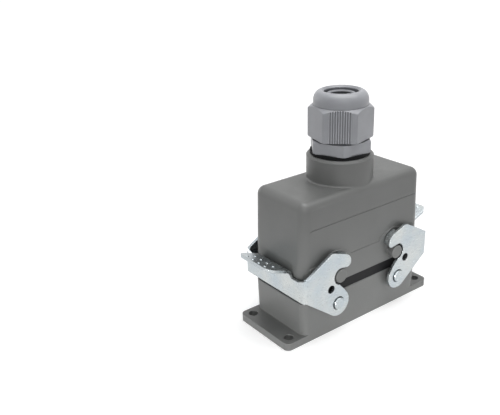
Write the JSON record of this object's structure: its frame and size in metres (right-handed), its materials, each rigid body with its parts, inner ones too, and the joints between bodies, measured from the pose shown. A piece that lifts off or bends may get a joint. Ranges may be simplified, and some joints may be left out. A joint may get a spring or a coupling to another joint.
{
  "type": "heavy duty rectangular connector",
  "caption": "Bulkhead housing and top-entry hood mated on a gasket, held by two sheet-steel locking levers, with a dome-nut cable gland and contact inserts inside",
  "frame": {"origin": "centre of the flange's mounting face, the flat underside that rests on the panel", "axes": "+Z from the panel up to the cable gland, X along the housing from lever to lever, Y across it; the hinge lines of both levers are parallel to Y"},
  "size_m": [0.1262, 0.0542, 0.1308],
  "materials": {
    "housing": "satin",
    "zinc_steel": "satin",
    "rubber": "matte",
    "seal_rubber": "matte",
    "gland_plastic": "matte",
    "insert_plastic": "matte",
    "contacts": "satin",
    "screws": "satin"
  },
  "bodies": {
    "connector": {"base_housing": "housing", "flange_seal": "rubber", "rim_gasket": "rubber", "pivot_pins": "zinc_steel", "hood": "housing", "gland_washer": "rubber", "gland_body": "gland_plastic", "female_insert": "insert_plastic", "female_contacts": "contacts", "female_terminal_screws": "screws", "female_fixing_screws": "screws", "female_earth_plates": "screws", "female_earth_screws": "screws", "male_insert": "insert_plastic", "male_contacts": "contacts", "male_terminal_screws": "screws", "male_fixing_screws": "screws", "male_earth_plates": "screws", "male_earth_screws": "screws"},
    "lever_left": {"lever_left": "zinc_steel"},
    "lever_right": {"lever_right": "zinc_steel"},
    "thread_rise": {"gland_seal": "seal_rubber"},
    "dome_nut": {"gland_nut": "gland_plastic"}
  },
  "joints": [
    {"name": "lever_left_hinge", "type": "hinge", "parent": "connector", "child": "lever_left", "pos_m": [-0.0239, 0, 0.0201], "axis": [0, -1, 0], "range_deg": [0, 46]},
    {"name": "lever_right_hinge", "type": "hinge", "parent": "connector", "child": "lever_right", "pos_m": [0.0239, 0, 0.0201], "axis": [0, 1, 0], "range_deg": [0, 46]},
    {"name": "gland_thread_rise", "type": "slide", "parent": "connector", "child": "thread_rise", "axis": [0, 0, 1], "range_m": [0, 0.0031]},
    {"name": "gland_nut_turn", "type": "hinge", "parent": "thread_rise", "child": "dome_nut", "pos_m": [0, 0, 0.105], "axis": [0, 0, 1], "range_deg": [0, 720]}
  ],
  "couplings": [
    {"joint": "gland_thread_rise", "follows": "gland_nut_turn", "m_per_rad": 0.00023873}
  ]
}
